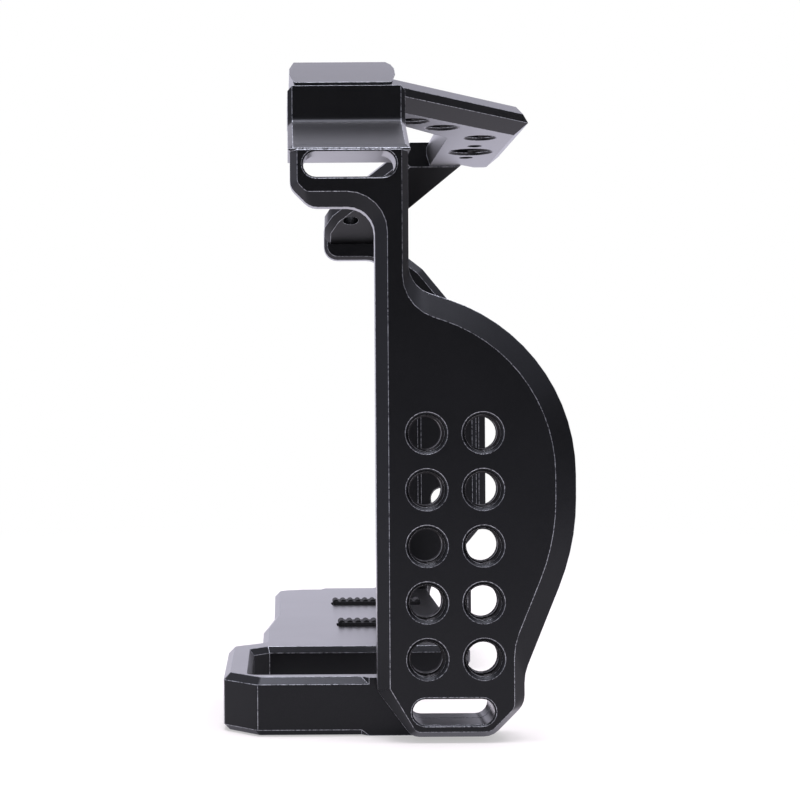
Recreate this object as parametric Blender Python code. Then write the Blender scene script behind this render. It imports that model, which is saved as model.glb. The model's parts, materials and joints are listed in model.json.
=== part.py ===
"""Camera cage: four screwed plates round a camera, with its captive camera screw and two grip strips.

Units are metres, +Z is up and the lens looks towards -Y. The plate on the side of the camera's hand grip is
at -X, the one on the side of its sockets at +X. Places are given as distances across the cage from the outer
face of the grip side, forward from a line close to its rearmost edge, and above the ground.
"""

import math

import bmesh
import bpy
from mathutils import Vector

# Overall sizes
cage_width = 0.150
cage_depth = 0.0624
rear_edge = -0.0006
cage_height = 0.1186

# Clearances, and the roundness of every arc
joint_gap = 0.0003
cut_overrun = 0.004
arc_tolerance = 0.00004
turned_sides = 28
fine_sides = 36
screw_sides = 24
socket_sides = 6
smooth_degrees = 30

# Threads and screws
quarter_bore_radius = 0.00305
quarter_mouth_radius = 0.00358
wide_bore_radius = 0.0045
wide_mouth_radius = 0.0051
mouth_chamfer = 0.0005
locating_hole_radius = 0.00155
locating_hole_reach = 0.0085
grid_pitch = 0.0095
small_shank_radius = 0.0010
small_head_radius = 0.00175
large_shank_radius = 0.0015
large_head_radius = 0.0028
socket_share = 0.38
screw_tip_share = 0.33
joining_thread_length = 0.0034

# Grip side plate
grip_thickness = 0.0063
grip_foot_height = 0.0006
grip_chamfer_depth = 0.0022
grip_inner_chamfer_depth = 0.0012
edge_break = 0.0008
neck_back = 0.0258
neck_width = 0.0057
neck_fillet = 0.0050
bulge_front = 0.0596
bulge_top_share = 0.857
bulge_low_share = 0.333
bulge_top_radius_share = 0.475
bulge_low_radius_share = 0.610
shoulder_height = 0.0768
foot_front = 0.0507
foot_step_height = 0.0112
foot_step_radius = 0.0080
foot_corner = 0.0055
foot_corner_radius = 0.0035
foot_back_rise = 0.0078
foot_back_radius = 0.0024
foot_back_run = 0.0058
arm_back = 0.0115
arm_underside = 0.0903
arm_corner = 0.0034
arm_back_radius = 0.0025
arm_corner_radius = 0.0030
arm_fillet = 0.0046
bulge_chamfer = 0.0038
back_chamfer = 0.0020
front_chamfer = 0.0012
arm_chamfer = 0.0024
grid_back_column = 0.03415
grid_low_row = 0.0140
grid_top_margin = 0.0253
strap_slot_height = 0.0043
strap_slot_length = 0.0156
low_slot_length = 0.0138
low_slot_back = 0.0316
low_slot_base = 0.0030
slot_chamfer = 0.0003
slot_margin = 0.0002

# Stepped shoulder over the grip
flange_underside = 0.0997
flange_bevel = 0.0011
flange_inset = 0.0003
flange_overlap = 0.0006
flange_top = 0.1063
step_across = 0.0106
step_wall = 0.0049
step_fillet = 0.0015
ledge_reach = 0.0155
ledge_thickness = 0.0055
end_chamfer = 0.0008

# Bottom plate
base_thickness = 0.0100
rim_width = 0.0043
bay_width = 0.0324
bay_corner = 0.0030
base_front = 0.0463
bay_edge_radius = 0.0012
base_step_across = 0.0450
base_step_end_across = 0.0500
base_step_radius = 0.0030
base_sweep_across = 0.0710
base_sweep_radius = 0.0060
base_flush_run = 0.0068
base_far_back = 0.0081
base_middle_back = 0.0059
base_far_corner = 0.0045
plan_corner = 0.0060
plan_corner_radius = 0.0016
rim_front = 0.0500
rim_undercut = 0.0064
rim_screw_back = 0.0297
rim_screw_back_height = 0.0069
rim_screw_front = 0.0472
rim_screw_front_height = 0.0073
top_chamfer = 0.0012
low_chamfer = 0.0010
chamfer_end_run = 0.0025
front_undercut_run = 0.0052
front_undercut_rise = 0.0070
lip_stand = 0.0004
lip_thickness = 0.0038
lip_width = 0.0300
lip_height = 0.0195
lip_corner = 0.0050
lip_blend = 0.0015
lip_root_share = 0.25

# Camera screw, on the lens axis, and what holds it
lens_across = 0.0935
screw_forward = 0.0351
screw_radius = 0.003175
screw_neck_radius = 0.0026
screw_thread_length = 0.0042
screw_tip_height = 0.0107
screw_tip_chamfer = 0.0007
head_radius = 0.0048
head_thickness = 0.0021
head_slot_width = 0.0014
head_slot_depth = 0.0009
head_socket_radius = 0.0020
head_chamfer = 0.0003
washer_radius = 0.0045
washer_thickness = 0.0005
ring_thickness = 0.0007
ring_inner_radius = 0.0036
ring_height = 0.0008
ring_seat_depth = 0.0005
recess_margin = 0.0004
screw_shoulder = 0.0020

# Ribbed strips on the bottom plate
strip_width = 0.0060
strip_length = 0.0205
strip_back = 0.0217
strip_near_across = 0.0755
strip_far_across = 0.1130
strip_groove_depth = 0.0010
strip_rise = 0.0012
rib_pitch = 0.00170
rib_height = 0.0003
rib_rise_share = 0.25

# Threaded holes under the bottom plate
base_hole_forward = 0.0276
base_hole_near_across = 0.0580
base_hole_far_across = 0.1300
base_hole_depth = 0.0075

# Top plate: flat block, swept bars and hood
top_thickness = 0.0058
block_back = 0.0116
block_front = 0.0303
block_far = 0.0460
block_far_radius = 0.0030
block_corner = 0.0014
block_slope_run = 0.0102
bar_outer_start = 0.0326
bar_outer_radius = 0.0040
hood_near_across = 0.0671
hood_far_across = 0.1122
hood_tip_across = 0.1180
hood_tip_back = 0.0530
hood_end_forward = 0.0520
hood_tip_radius = 0.0036
hood_front = 0.0616
hood_edge_height = 0.0024
hood_face_height = 0.0016
hood_low_chamfer = 0.0029
hood_top_chamfer = 0.0020
hood_nose_chamfer = 0.0025
window_front = 0.0443
window_near_across = 0.0713
window_corner = 0.0030
bar_bend_forward = 0.0274
bar_bend_radius = 0.0060
wide_hole_across = 0.0910
wide_hole_forward = 0.0522
bar_hole_across = 0.0500
bar_hole_forward = 0.0362
bar_hole_step_across = 0.0080
bar_hole_step_forward = 0.0065
hood_hole_across = 0.0713
hood_hole_forward = 0.0520
block_hole_across = 0.0400
block_hole_forward = 0.0208
top_screw_across = 0.0255
top_screw_margin = 0.0050

# Bar that drops from the hood to the socket side
drop_start = 0.1104
drop_face_across = 0.1112
drop_end_height = 0.09755
drop_back_at_start = 0.0390
drop_back_at_end = 0.0211
drop_front_at_start = 0.0535
drop_front_at_middle = 0.0385
drop_front_at_end = 0.0372
drop_corner_share = 0.775
drop_round_share = 0.078
drop_back_rounding = 0.0018
drop_front_rounding = 0.0008
drop_edge_break = 0.0015
drop_hole_share = 0.68
drop_hole_forward = 0.0274
drop_hole_radius = 0.0019
drop_screw_rise = 0.0036
drop_screw_back_share = 0.28
drop_screw_front_share = 0.72

# Socket side plate
port_thickness = 0.0065
port_back = 0.0360
port_front = 0.0618
port_foot_back = 0.0190
port_foot_front = 0.0475
port_foot_height = 0.0006
port_foot_top = 0.0097
port_foot_back_radius = 0.0012
port_foot_front_radius = 0.0020
port_foot_fillet = 0.0030
port_screw_back_share = 0.20
port_screw_front_share = 0.68
port_arm_drop = 0.0039
port_arm_rise = 0.0012
port_arm_front = 0.0402
port_arm_corner = 0.0034
port_bulge_low = 0.0270
port_bulge_high = 0.0720
port_cheek_forward = 0.0461
port_cheek_height = 0.0912
port_cheek_radius = 0.0040
port_cheek_rise = 0.0046
port_bulge_radius = 0.0140
port_bulge_low_radius = 0.0080
port_fillet = 0.0040
port_outer_chamfer = 0.0022
port_inner_chamfer = 0.0018
port_chamfer_depth = 0.0015
relief_back = 0.0445
relief_front = 0.0593
relief_low = 0.0290
relief_high = 0.0700
relief_depth = 0.0009
relief_slope = 0.0009
port_hole_forward = 0.0507
port_hole_height = 0.0327
port_hole_upper_height = 0.0612

# Places that follow from the sizes above
plate_near = grip_thickness + joint_gap
port_inner = cage_width - port_thickness
base_far = port_inner - joint_gap
bay_near = plate_near + rim_width
bay_far = bay_near + bay_width
top_low = cage_height - top_thickness
neck_front = neck_back + neck_width
slot_radius = strap_slot_height / 2
strap_slot_back = arm_back + (neck_front - arm_back - strap_slot_length) / 2
lip_back = base_front + lip_stand
lip_front = lip_back + lip_thickness
lobe_height = shoulder_height - foot_step_height
grid_rows = 1 + round((shoulder_height - grid_top_margin - grid_low_row) / grid_pitch)
drop_slope = (top_low - drop_end_height) / (base_far - drop_start)


class Corner:
    """One corner of an outline: its place, its rounding, and how far each ring is drawn in there.

    Where the insets past the corner differ, its sides are drawn in by different amounts and meet in a mitre.
    """

    def __init__(self, u, v, radius=0, insets=(), insets_past=()):
        self.point = Vector((u, v))
        self.radius = radius
        self.insets = insets
        self.insets_past = insets_past or insets


def place(across, forward, height):
    """World place of a point given by its distances across, forward and up."""
    return Vector((across - cage_width / 2, cage_depth / 2 + rear_edge - forward, height))


def plan_point(u, v, level):
    return place(u, v, level)


def side_point(u, v, level):
    return place(level, u, v)


def profile_point(u, v, level):
    return place(u, level, v)


def arc_points(corner, before, after, inset, inset_past):
    """The points that round one corner, with its two sides drawn in by their insets."""
    inward = (before.point - corner.point).normalized()
    outward = (after.point - corner.point).normalized()
    turn = math.pi - inward.angle(outward)
    sign = 1 if outward.cross(inward) > 0 else -1
    normal = Vector((inward.y, -inward.x))
    normal_past = Vector((-outward.y, outward.x))
    lean = normal.dot(normal_past)
    middle = (inset + inset_past) / 2
    point = corner.point + (normal + normal_past) * middle / (1 + lean)
    if inset != inset_past:
        point += (normal - normal_past) * (inset - middle) / (1 - lean)
    if corner.radius == 0 or turn == 0:
        return [point]
    radius = max(corner.radius - sign * middle, arc_tolerance)
    reach = radius * math.tan(turn / 2)
    centre = point + (inward + outward).normalized() * (radius / math.cos(turn / 2))
    start = point + inward * reach - centre
    step = 2 * math.acos(1 - min(arc_tolerance / corner.radius, 0.5))
    count = max(2, math.ceil(turn / step))
    points = []
    for index in range(count + 1):
        angle = sign * turn * index / count
        cosine, sine = math.cos(angle), math.sin(angle)
        turned = Vector((start.x * cosine - start.y * sine, start.x * sine + start.y * cosine))
        points.append(centre + turned)
    return points


def outline_rings(corners, ring_count):
    """For each ring the rounded outline, drawn in by that ring's insets."""
    outline = []
    rings = [[] for _ in range(ring_count)]
    for index, corner in enumerate(corners):
        around = (corner, corners[index - 1], corners[(index + 1) % len(corners)])
        outline += arc_points(*around, 0, 0)
        for ring, points in enumerate(rings):
            pair = (corner.insets[ring], corner.insets_past[ring]) if corner.insets else (0, 0)
            points += arc_points(*around, *pair)
    apart = [(point - outline[index - 1]).length > arc_tolerance / 2 for index, point in enumerate(outline)]
    return [[point for point, kept in zip(points, apart) if kept] for points in rings]


def add_loft(mesh, rings):
    """A closed body through rings of points, with a face across each end."""
    loops = [[mesh.verts.new(point) for point in ring] for ring in rings]
    count = len(loops[0])
    for lower, upper in zip(loops, loops[1:]):
        for index in range(count):
            following = (index + 1) % count
            mesh.faces.new((lower[index], lower[following], upper[following], upper[index]))
    mesh.faces.new(list(reversed(loops[0])))
    mesh.faces.new(loops[-1])


def add_outline_body(mesh, corners, levels, to_world):
    """An outline carried through its levels, drawn in at each as its corners say."""
    rings = outline_rings(corners, len(levels))
    add_loft(mesh, [[to_world(p.x, p.y, level) for p in ring] for ring, level in zip(rings, levels)])


def add_turned(mesh, profile, origin, axis, sides=turned_sides):
    """A body turned about an axis, from (along, radius) pairs."""
    axis = Vector(axis).normalized()
    side = axis.orthogonal().normalized()
    other = axis.cross(side)
    rings = []
    for along, radius in profile:
        ring = []
        for index in range(sides):
            angle = math.tau * index / sides
            spoke = side * math.cos(angle) + other * math.sin(angle)
            ring.append(origin + axis * along + spoke * radius)
        rings.append(ring)
    add_loft(mesh, rings)


def new_object(name, build, material=None, origin=None):
    """One object from a function that fills a bmesh, with its origin where it turns or sits."""
    data = bmesh.new()
    build(data)
    bmesh.ops.recalc_face_normals(data, faces=data.faces)
    mesh = bpy.data.meshes.new(name)
    data.to_mesh(mesh)
    data.free()
    thing = bpy.data.objects.new(name, mesh)
    bpy.context.scene.collection.objects.link(thing)
    if origin is not None:
        for vertex in mesh.vertices:
            vertex.co -= origin
        thing.location = origin
    if material is not None:
        mesh.materials.append(material)
    mesh.shade_smooth()
    mesh.set_sharp_from_angle(angle=math.radians(smooth_degrees))
    return thing


def helper(name, build):
    """A body that only cuts or adds to another."""
    thing = new_object(name, build)
    thing.hide_render = True
    thing.display_type = "WIRE"
    return thing


def combine(target, tool, operation):
    """One Boolean step on the target."""
    step = target.modifiers.new(tool.name, "BOOLEAN")
    step.object = tool
    step.operation = operation
    step.solver = "EXACT"


def make_material(name, colour, roughness, metallic):
    material = bpy.data.materials.new(name)
    material.use_nodes = True
    shader = material.node_tree.nodes["Principled BSDF"]
    shader.inputs["Base Color"].default_value = (*colour, 1)
    shader.inputs["Roughness"].default_value = roughness
    shader.inputs["Metallic"].default_value = metallic
    return material


def add_bore(mesh, origin, axis, length, radius, mouth_radius):
    """A cutter for a hole right through a wall, with a countersunk mouth on both faces."""
    wide = mouth_radius + (mouth_radius - radius)
    profile = [
        (-mouth_chamfer, wide),
        (mouth_chamfer, radius),
        (length - mouth_chamfer, radius),
        (length + mouth_chamfer, wide),
    ]
    add_turned(mesh, profile, origin, axis)


def add_blind_bore(mesh, origin, axis, depth, radius, mouth_radius):
    """A cutter for a hole with a countersunk mouth and a flat bottom."""
    wide = mouth_radius + (mouth_radius - radius)
    add_turned(mesh, [(-mouth_chamfer, wide), (mouth_chamfer, radius), (depth, radius)], origin, axis)


def add_plain_hole(mesh, origin, axis, length, radius):
    """A cutter for a plain hole, past both faces."""
    add_turned(mesh, [(-cut_overrun, radius), (length + cut_overrun, radius)], origin, axis)


def add_strap_slot(mesh, back, base, length, start, end):
    """A cutter for a strap slot through the grip side, round at both ends."""
    top = base + strap_slot_height
    corners = [
        Corner(back, base, slot_radius),
        Corner(back + length, base, slot_radius),
        Corner(back + length, top, slot_radius),
        Corner(back, top, slot_radius),
    ]
    mouth = -(slot_chamfer + slot_chamfer)
    for corner in corners:
        corner.insets = (mouth, 0, 0)
        corner.insets_past = corner.insets
    levels = (start - slot_chamfer, start + slot_chamfer, end)
    add_outline_body(mesh, corners, levels, side_point)


class Screw:
    """One joining screw: where its flat face lies, which way it points, and the two walls that it joins."""

    def __init__(self, name, walls, seat, axis, grip, size):
        self.name = name
        self.outer, self.inner = walls
        self.seat = seat
        self.axis = Vector(axis).normalized()
        self.grip = grip
        self.shank, self.head = size
        self.taper = self.head - self.shank + joint_gap

    def cut_seat(self, mesh):
        """The countersunk hole in the outer wall."""
        hole = self.shank + joint_gap
        head = self.head + joint_gap
        profile = [
            (-cut_overrun, head),
            (joint_gap, head),
            (self.taper + joint_gap, hole),
            (self.grip + cut_overrun, hole),
        ]
        add_turned(mesh, profile, self.seat, self.axis, screw_sides)

    def cut_thread(self, mesh):
        """The threaded hole in the wall beyond, as a plain bore."""
        hole = self.shank + joint_gap
        start = self.grip - cut_overrun
        depth = self.grip + joint_gap + joining_thread_length + joint_gap
        add_turned(mesh, [(start, hole), (depth, hole)], self.seat, self.axis, screw_sides)

    def add(self, material):
        """The screw itself, with a six-sided socket in its head."""
        length = self.grip + joint_gap + joining_thread_length
        tip = self.shank * screw_tip_share

        def body(mesh):
            profile = [
                (0, self.head),
                (joint_gap, self.head),
                (self.taper, self.shank),
                (length - tip, self.shank),
                (length, self.shank - tip),
            ]
            add_turned(mesh, profile, self.seat, self.axis, screw_sides)

        def socket(mesh):
            radius = self.head * socket_share
            profile = [(-cut_overrun, radius), (self.taper / 2, radius)]
            add_turned(mesh, profile, self.seat, self.axis, socket_sides)

        screw = new_object(self.name, body, material, self.seat)
        combine(screw, helper(self.name + "_socket", socket), "DIFFERENCE")


def grip_side_plate(material):
    """The side plate by the hand grip, its arm, and the stepped shoulder that carries the top plate."""
    bulge = (bulge_chamfer, 0, 0, edge_break)
    back = (back_chamfer, 0, 0, edge_break)
    front = (front_chamfer, 0, 0, edge_break)
    foot = (front_chamfer + edge_break, 0, 0, edge_break)
    under = (arm_chamfer, 0, 0, arm_chamfer)
    top = (flange_overlap, 0, 0, 0)
    wall_top = flange_underside + flange_overlap
    bulge_low = foot_step_height + lobe_height * bulge_low_share
    bulge_top = foot_step_height + lobe_height * bulge_top_share
    low_radius = lobe_height * bulge_low_radius_share
    top_radius = lobe_height * bulge_top_radius_share
    corners = [
        Corner(neck_back, grip_foot_height + foot_back_rise, foot_back_radius, back),
        Corner(neck_back + foot_back_run, grip_foot_height, foot_back_radius, front),
        Corner(foot_front - foot_corner, grip_foot_height, foot_corner_radius, front),
        Corner(foot_front, grip_foot_height + foot_corner, foot_corner_radius, front, foot),
        Corner(foot_front, foot_step_height, foot_step_radius, foot, bulge),
        Corner(bulge_front, bulge_low, low_radius, bulge),
        Corner(bulge_front, bulge_top, top_radius, bulge),
        Corner(neck_front, shoulder_height, neck_fillet, bulge, front),
        Corner(neck_front, wall_top, 0, front, top),
        Corner(arm_back, wall_top, 0, top, front),
        Corner(arm_back, arm_underside + arm_corner, arm_back_radius, front),
        Corner(arm_back + arm_corner, arm_underside, arm_corner_radius, front, under),
        Corner(neck_back, arm_underside, arm_fillet, under, back),
    ]
    levels = (0, grip_chamfer_depth, grip_thickness - grip_inner_chamfer_depth, grip_thickness)

    def wall(mesh):
        add_outline_body(mesh, corners, levels, side_point)

    def shoulder(mesh):
        add_shoulder(mesh)

    def holes(mesh):
        for row in range(grid_rows):
            for column in range(2):
                forward = grid_back_column + column * grid_pitch
                height = grid_low_row + row * grid_pitch
                centre = place(0, forward, height)
                add_bore(mesh, centre, (1, 0, 0), grip_thickness, quarter_bore_radius, quarter_mouth_radius)

    def slots(mesh):
        top_base = flange_underside - slot_margin - strap_slot_height
        add_strap_slot(mesh, strap_slot_back, top_base, strap_slot_length, 0, grip_thickness + cut_overrun)
        add_strap_slot(mesh, low_slot_back, low_slot_base, low_slot_length, 0, grip_thickness + cut_overrun)

    plate = new_object("grip_side_plate", wall, material)
    combine(plate, helper("grip_shoulder", shoulder), "UNION")
    combine(plate, helper("grip_holes", holes), "DIFFERENCE")
    combine(plate, helper("grip_slots", slots), "DIFFERENCE")
    return plate


def add_shoulder(mesh):
    """The shoulder's section, carried along the arm: a sloped flange, a step wall and a ledge inside it."""
    ends = (end_chamfer, 0, 0, end_chamfer)
    wall_inner = step_across + step_wall
    ledge_top = top_low - joint_gap
    ledge_low = ledge_top - ledge_thickness
    corners = [
        Corner(flange_inset, flange_underside),
        Corner(wall_inner, flange_underside),
        Corner(wall_inner, ledge_low, step_fillet),
        Corner(wall_inner + ledge_reach, ledge_low, 0, ends),
        Corner(wall_inner + ledge_reach, ledge_top, 0, ends),
        Corner(step_across, ledge_top, 0, ends),
        Corner(step_across, flange_top, step_fillet, ends),
        Corner(flange_bevel, flange_underside + flange_bevel, 0, ends),
        Corner(flange_inset, flange_underside + flange_inset),
    ]
    back = arm_back - flange_inset
    front = neck_front + flange_inset
    levels = (back, back + end_chamfer, front - end_chamfer, front)
    add_outline_body(mesh, corners, levels, profile_point)


def bottom_plate(material):
    """The plate under the camera, open over the battery door, with its lip below the lens."""
    outer = (low_chamfer, 0, 0, top_chamfer)
    rim = (low_chamfer, 0, 0, edge_break)
    flush = (0, 0, 0, 0)
    corners = [
        Corner(plate_near, neck_back - top_chamfer, 0, flush),
        Corner(plate_near, neck_back - chamfer_end_run, 0, outer),
        Corner(plate_near, rear_edge + plan_corner, plan_corner_radius, outer),
        Corner(plate_near + plan_corner, rear_edge, plan_corner_radius, outer),
        Corner(base_step_across, rear_edge, base_step_radius, outer),
        Corner(base_step_end_across, base_middle_back, base_step_radius, outer),
        Corner(base_sweep_across, base_middle_back, base_sweep_radius, outer),
        Corner(lens_across, base_far_back, base_sweep_radius, outer),
        Corner(base_far, base_far_back, base_far_corner, outer),
        Corner(base_far, base_far_back + base_flush_run, 0, flush),
        Corner(base_far, base_front, 0, flush),
        Corner(bay_far, base_front, bay_edge_radius, rim),
        Corner(bay_far, rim_width + bay_corner, 0, rim),
        Corner(bay_far - bay_corner, rim_width, 0, rim),
        Corner(bay_near, rim_width, bay_edge_radius, rim),
        Corner(bay_near, rim_front, 0, rim),
        Corner(plate_near, rim_front, 0, flush),
    ]
    levels = (0, low_chamfer, base_thickness - top_chamfer, base_thickness)

    def slab(mesh):
        add_outline_body(mesh, corners, levels, plan_point)

    def undercut(mesh):
        overrun = cut_overrun
        slope = front_undercut_run / front_undercut_rise
        section = [
            Corner(base_front - front_undercut_run - overrun * slope, -overrun),
            Corner(base_front + overrun, -overrun),
            Corner(base_front + overrun, front_undercut_rise),
            Corner(base_front, front_undercut_rise),
        ]
        add_outline_body(mesh, section, (bay_far - overrun, base_far + overrun), side_point)
        section = [
            Corner(rim_front - rim_undercut - overrun, -overrun),
            Corner(rim_front + overrun, -overrun),
            Corner(rim_front + overrun, rim_undercut + overrun),
        ]
        add_outline_body(mesh, section, (plate_near - overrun, bay_near + overrun), side_point)

    def lip(mesh):
        add_lip(mesh)

    plate = new_object("bottom_plate", slab, material)
    combine(plate, helper("base_undercut", undercut), "DIFFERENCE")
    combine(plate, helper("base_lip", lip), "UNION")
    combine(plate, helper("base_cuts", add_base_cuts), "DIFFERENCE")
    return plate


def add_lip(mesh):
    """A tongue ahead of the plate with an upright lip that stops the camera turning."""
    half = lip_width / 2
    near = lens_across - half
    far = lens_across + half
    root_height = base_thickness - front_undercut_rise
    inner = base_front - lip_corner
    foot = front_undercut_rise + root_height * lip_root_share
    ends = (edge_break, 0, 0, edge_break)
    section = [
        Corner(inner, foot),
        Corner(lip_front - lip_blend, foot, 0, ends),
        Corner(lip_front, foot + lip_blend, 0, ends),
        Corner(lip_front, lip_height - lip_blend, 0, ends),
        Corner(lip_front - lip_blend, lip_height, 0, ends),
        Corner(lip_back + edge_break, lip_height, 0, ends),
        Corner(lip_back, lip_height - edge_break, 0, ends),
        Corner(lip_back, base_thickness - edge_break / 2, 0),
        Corner(inner, base_thickness - edge_break / 2),
    ]
    add_outline_body(mesh, section, (near, near + edge_break, far - edge_break, far), side_point)


def add_base_cuts(mesh):
    """Everything cut from the bottom plate: the screw's seat, strip grooves, threads and the strap slot."""
    centre = place(lens_across, screw_forward, 0)
    recess = head_radius + recess_margin
    groove = recess + ring_seat_depth
    ceiling = base_thickness - screw_shoulder
    hole = screw_radius + joint_gap
    profile = [
        (-cut_overrun, recess),
        (ring_height - joint_gap, recess),
        (ring_height - joint_gap, groove),
        (ring_height + ring_thickness + joint_gap, groove),
        (ring_height + ring_thickness + joint_gap, recess),
        (ceiling, recess),
        (ceiling, hole),
        (base_thickness + cut_overrun, hole),
    ]
    up = (0, 0, 1)
    add_turned(mesh, profile, centre, up, fine_sides)
    for across in (strip_near_across, strip_far_across):
        add_strip_groove(mesh, across)
    for across in (base_hole_near_across, base_hole_far_across):
        for sign in (-1, 1):
            spot = place(across, base_hole_forward + sign * grid_pitch, 0)
            radii = (quarter_bore_radius, quarter_mouth_radius)
            if across == base_hole_far_across and sign < 0:
                radii = (wide_bore_radius, wide_mouth_radius)
            add_blind_bore(mesh, spot, up, base_hole_depth, *radii)
    start = plate_near - joint_gap
    add_strap_slot(mesh, low_slot_back, low_slot_base, low_slot_length, start, bay_near + cut_overrun)


def add_strip_groove(mesh, across):
    """A round-ended groove that a strip lies in."""
    half = strip_width / 2 + joint_gap
    front = strip_back + strip_length
    corners = [
        Corner(across - half, strip_back - joint_gap, half / 2),
        Corner(across + half, strip_back - joint_gap, half / 2),
        Corner(across + half, front + joint_gap, half / 2),
        Corner(across - half, front + joint_gap, half / 2),
    ]
    levels = (base_thickness - strip_groove_depth, base_thickness + cut_overrun)
    add_outline_body(mesh, corners, levels, plan_point)


def ribbed_strip(name, across, material):
    """A rubber strip whose upper face waves in ribs across it."""
    base = base_thickness - strip_groove_depth + joint_gap
    crest = base_thickness + strip_rise
    low = crest - rib_height
    ribs = max(2, round(strip_length / rib_pitch))
    pitch = strip_length / ribs
    half = strip_width / 2
    rounding = half / 2

    def body(mesh):
        stations = []
        for rib in range(ribs):
            start = rib * pitch
            stations.append((start, low if rib else low - rib_height))
            stations.append((start + pitch * rib_rise_share, crest))
            stations.append((start + pitch - pitch * rib_rise_share, crest))
        stations.append((strip_length, low - rib_height))
        rings = []
        for forward, height in stations:
            to_end = min(forward, strip_length - forward)
            narrow = max(0, rounding - to_end) / 2
            reach = half - narrow
            shoulder = reach - rib_height
            place_forward = strip_back + forward
            rings.append([
                place(across - reach, place_forward, base),
                place(across + reach, place_forward, base),
                place(across + reach, place_forward, height - rib_height),
                place(across + shoulder, place_forward, height),
                place(across - shoulder, place_forward, height),
                place(across - reach, place_forward, height - rib_height),
            ])
        add_loft(mesh, rings)

    new_object(name, body, material)


def camera_screw(material):
    """The captive screw that holds the camera: slotted head, relieved neck and threaded end."""
    head_base = ring_height + ring_thickness + joint_gap
    head_top = head_base + head_thickness
    thread_low = screw_tip_height - screw_thread_length
    centre = place(lens_across, screw_forward, head_base)

    def body(mesh):
        profile = [
            (0, head_radius - head_chamfer),
            (head_chamfer, head_radius),
            (head_thickness - head_chamfer, head_radius),
            (head_thickness, head_radius - head_chamfer),
            (head_thickness, screw_neck_radius),
            (thread_low - head_base, screw_neck_radius),
            (thread_low - head_base + (screw_radius - screw_neck_radius), screw_radius),
            (screw_tip_height - head_base - screw_tip_chamfer, screw_radius),
            (screw_tip_height - head_base, screw_radius - screw_tip_chamfer),
        ]
        add_turned(mesh, profile, centre, (0, 0, 1), fine_sides)

    def drive(mesh):
        half = head_slot_width / 2
        reach = head_radius + cut_overrun
        corners = [
            Corner(lens_across - reach, screw_forward - half),
            Corner(lens_across + reach, screw_forward - half),
            Corner(lens_across + reach, screw_forward + half),
            Corner(lens_across - reach, screw_forward + half),
        ]
        add_outline_body(mesh, corners, (-cut_overrun, head_base + head_slot_depth), plan_point)

    def socket(mesh):
        depth = head_thickness - head_chamfer
        profile = [(-cut_overrun, head_socket_radius), (depth, head_socket_radius)]
        add_turned(mesh, profile, centre, (0, 0, 1), socket_sides)

    screw = new_object("camera_screw", body, material, centre)
    combine(screw, helper("screw_slot", drive), "DIFFERENCE")
    combine(screw, helper("screw_socket", socket), "DIFFERENCE")
    return head_top


def ring_body(name, outer, inner, base, thickness, material):
    """A flat ring about the camera screw."""
    centre = place(lens_across, screw_forward, base)

    def body(mesh):
        add_turned(mesh, [(0, outer), (thickness, outer)], centre, (0, 0, 1), fine_sides)

    def bore(mesh):
        add_plain_hole(mesh, centre, (0, 0, 1), thickness, inner)

    ring = new_object(name, body, material, centre)
    combine(ring, helper(name + "_bore", bore), "DIFFERENCE")


def top_plate(material):
    """The top: a block over the grip, a bar swept forward to the hood, and a bar dropping to the far side."""
    plain = (edge_break, 0, 0, edge_break)
    side = (hood_low_chamfer, 0, 0, hood_top_chamfer)
    nose = (hood_low_chamfer, 0, hood_nose_chamfer / 2, hood_nose_chamfer)
    corners = [
        Corner(step_across, block_back, block_corner, plain),
        Corner(block_far, block_back, block_far_radius, plain),
        Corner(block_far, bar_bend_forward, bar_bend_radius, plain),
        Corner(window_near_across, window_front, window_corner, plain),
        Corner(hood_far_across, window_front, 0, plain),
        Corner(hood_far_across, hood_end_forward, 0, plain),
        Corner(hood_tip_across, hood_tip_back, hood_tip_radius, nose),
        Corner(hood_tip_across, hood_front, hood_tip_radius, nose),
        Corner(hood_near_across, hood_front, 0, nose, side),
        Corner(bar_outer_start, block_front, bar_outer_radius, side),
        Corner(step_across, block_front, block_corner, plain),
    ]
    edge_height = top_low + hood_edge_height
    levels = (top_low, edge_height, edge_height + hood_face_height, cage_height)

    def slab(mesh):
        add_outline_body(mesh, corners, levels, plan_point)

    def slope(mesh):
        rise = top_thickness
        run = block_slope_run
        extra_run = cut_overrun * run / rise
        section = [
            Corner(step_across - extra_run, top_low - cut_overrun),
            Corner(step_across + run + extra_run, cage_height + cut_overrun),
            Corner(step_across - extra_run, cage_height + cut_overrun),
        ]
        add_outline_body(mesh, section, (block_back - cut_overrun, block_front + cut_overrun), profile_point)

    plate = new_object("top_plate", slab, material)
    combine(plate, helper("top_slope", slope), "DIFFERENCE")
    combine(plate, helper("drop_bar", add_drop_bar), "UNION")
    combine(plate, helper("top_holes", add_top_holes), "DIFFERENCE")
    return plate


def drop_low(across):
    """Height of the dropping bar's underside."""
    return top_low - (across - drop_start) * drop_slope


def add_drop_bar(mesh):
    """The dropping bar as sections across the cage, each a rectangle with broken corners."""
    run = base_far - drop_face_across
    corner = drop_face_across + run * drop_corner_share
    reach = run * drop_round_share
    back = drop_back_at_end
    front = drop_front_at_middle
    stations = [
        (drop_face_across, drop_back_at_start, drop_front_at_start),
        (corner - reach, back + drop_back_rounding, front + drop_front_rounding),
        (corner, back + drop_back_rounding / 2, front),
        (corner + reach, back, front - drop_front_rounding),
        (base_far, back, drop_front_at_end),
    ]
    small = drop_edge_break
    rings = []
    for across, back, front in stations:
        low = drop_low(across)
        high = low + top_thickness
        rings.append([
            place(across, back, low + small),
            place(across, back + small, low),
            place(across, front - small, low),
            place(across, front, low + small),
            place(across, front, high - small),
            place(across, front - small, high),
            place(across, back + small, high),
            place(across, back, high - small),
        ])
    add_loft(mesh, rings)


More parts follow.
